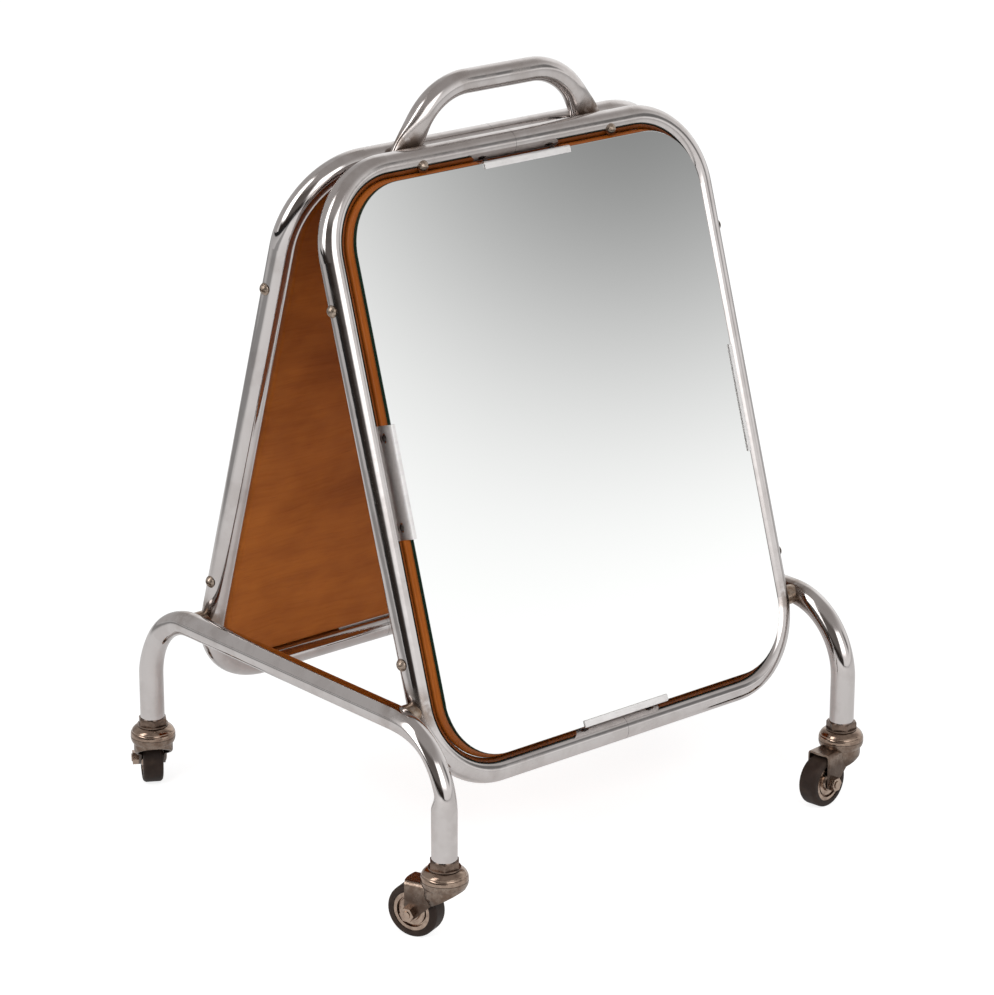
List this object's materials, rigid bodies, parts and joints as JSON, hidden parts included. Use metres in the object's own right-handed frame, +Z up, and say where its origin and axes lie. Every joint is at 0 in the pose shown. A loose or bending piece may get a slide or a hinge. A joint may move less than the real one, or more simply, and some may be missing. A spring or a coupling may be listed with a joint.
{
  "type": "rolling floor mirror",
  "caption": "Double-sided floor mirror: rounded mirrored boards in leaning tube loops, on a bent-tube base with swivel casters and a carrying handle on top.",
  "frame": {"origin": "on the floor, midway between the four caster swivel axes", "axes": "+X to the right of the front mirror, +Y to the back, +Z up"},
  "size_m": [0.5872, 0.5489, 0.7664],
  "materials": {
    "chrome_tube": "bright chromium plate on steel tube, lightly scuffed and pitted",
    "plywood": "clear varnished plywood with a fine grain and a rounded edge",
    "mirror_glass": "silvered glass with a green edge",
    "clip_metal": "satin bent sheet",
    "clip_screw_steel": "darkened steel",
    "screw_steel": "dull plated steel, slightly tarnished",
    "brazed_steel": "brown brazed joint",
    "bare_steel": "plain steel inside the tube",
    "ball_steel": "polished balls",
    "caster_metal": "dull nickel plate with brown tarnish",
    "bush_brass": "plain",
    "tyre_rubber": "worn black rubber"
  },
  "bodies": {
    "frame": {"front_loop_left": "chrome_tube", "front_loop_right": "chrome_tube", "rear_loop_left": "chrome_tube", "rear_loop_right": "chrome_tube", "joining_sleeves": "bare_steel", "handle": "chrome_tube", "left_rail": "chrome_tube", "right_rail": "chrome_tube", "rail_stubs": "brazed_steel", "front_board": "plywood", "rear_board": "plywood", "front_mirror": "mirror_glass", "rear_mirror": "mirror_glass", "front_clip_bottom": "clip_metal", "front_clip_right": "clip_metal", "front_clip_top": "clip_metal", "front_clip_left": "clip_metal", "rear_clip_bottom": "clip_metal", "rear_clip_right": "clip_metal", "rear_clip_top": "clip_metal", "rear_clip_left": "clip_metal", "front_clip_screws": "clip_screw_steel", "rear_clip_screws": "clip_screw_steel", "board_screws": "screw_steel", "tie_bolts": "screw_steel", "tie_nuts": "screw_steel", "tie_spacers": "screw_steel", "swivel_balls": "ball_steel", "front_left_stem": "caster_metal", "front_left_race_cover": "caster_metal", "front_right_stem": "caster_metal", "front_right_race_cover": "caster_metal", "rear_left_stem": "caster_metal", "rear_left_race_cover": "caster_metal", "rear_right_stem": "caster_metal", "rear_right_race_cover": "caster_metal"},
    "front_left_swivel": {"front_left_fork": "caster_metal", "front_left_axle": "caster_metal", "front_left_axle_nut": "caster_metal"},
    "front_left_wheel": {"front_left_bush": "bush_brass", "front_left_hub": "caster_metal", "front_left_tyre": "tyre_rubber"},
    "front_right_swivel": {"front_right_fork": "caster_metal", "front_right_axle": "caster_metal", "front_right_axle_nut": "caster_metal"},
    "front_right_wheel": {"front_right_bush": "bush_brass", "front_right_hub": "caster_metal", "front_right_tyre": "tyre_rubber"},
    "rear_left_swivel": {"rear_left_fork": "caster_metal", "rear_left_axle": "caster_metal", "rear_left_axle_nut": "caster_metal"},
    "rear_left_wheel": {"rear_left_bush": "bush_brass", "rear_left_hub": "caster_metal", "rear_left_tyre": "tyre_rubber"},
    "rear_right_swivel": {"rear_right_fork": "caster_metal", "rear_right_axle": "caster_metal", "rear_right_axle_nut": "caster_metal"},
    "rear_right_wheel": {"rear_right_bush": "bush_brass", "rear_right_hub": "caster_metal", "rear_right_tyre": "tyre_rubber"}
  },
  "joints": [
    {"name": "front_left_swivel_turn", "type": "hinge", "parent": "frame", "child": "front_left_swivel", "pos_m": [-0.2655, -0.2335, 0.06], "axis": [0, 0, 1], "continuous": true},
    {"name": "front_left_wheel_spin", "type": "hinge", "parent": "front_left_swivel", "child": "front_left_wheel", "pos_m": [-0.27643, -0.20503, 0.0265], "axis": [-0.9336, -0.3584, 0], "continuous": true},
    {"name": "front_right_swivel_turn", "type": "hinge", "parent": "frame", "child": "front_right_swivel", "pos_m": [0.2655, -0.2335, 0.06], "axis": [0, 0, 1], "continuous": true},
    {"name": "front_right_wheel_spin", "type": "hinge", "parent": "front_right_swivel", "child": "front_right_wheel", "pos_m": [0.23523, -0.23722, 0.0265], "axis": [0.1219, -0.9925, 0], "continuous": true},
    {"name": "rear_left_swivel_turn", "type": "hinge", "parent": "frame", "child": "rear_left_swivel", "pos_m": [-0.2655, 0.2335, 0.06], "axis": [0, 0, 1], "continuous": true},
    {"name": "rear_left_wheel_spin", "type": "hinge", "parent": "rear_left_swivel", "child": "rear_left_wheel", "pos_m": [-0.24979, 0.25964, 0.0265], "axis": [-0.8572, 0.515, 0], "continuous": true},
    {"name": "rear_right_swivel_turn", "type": "hinge", "parent": "frame", "child": "rear_right_swivel", "pos_m": [0.2655, 0.2335, 0.06], "axis": [0, 0, 1], "continuous": true},
    {"name": "rear_right_wheel_spin", "type": "hinge", "parent": "rear_right_swivel", "child": "rear_right_wheel", "pos_m": [0.27339, 0.26296, 0.0265], "axis": [-0.9659, 0.2588, 0], "continuous": true}
  ]
}
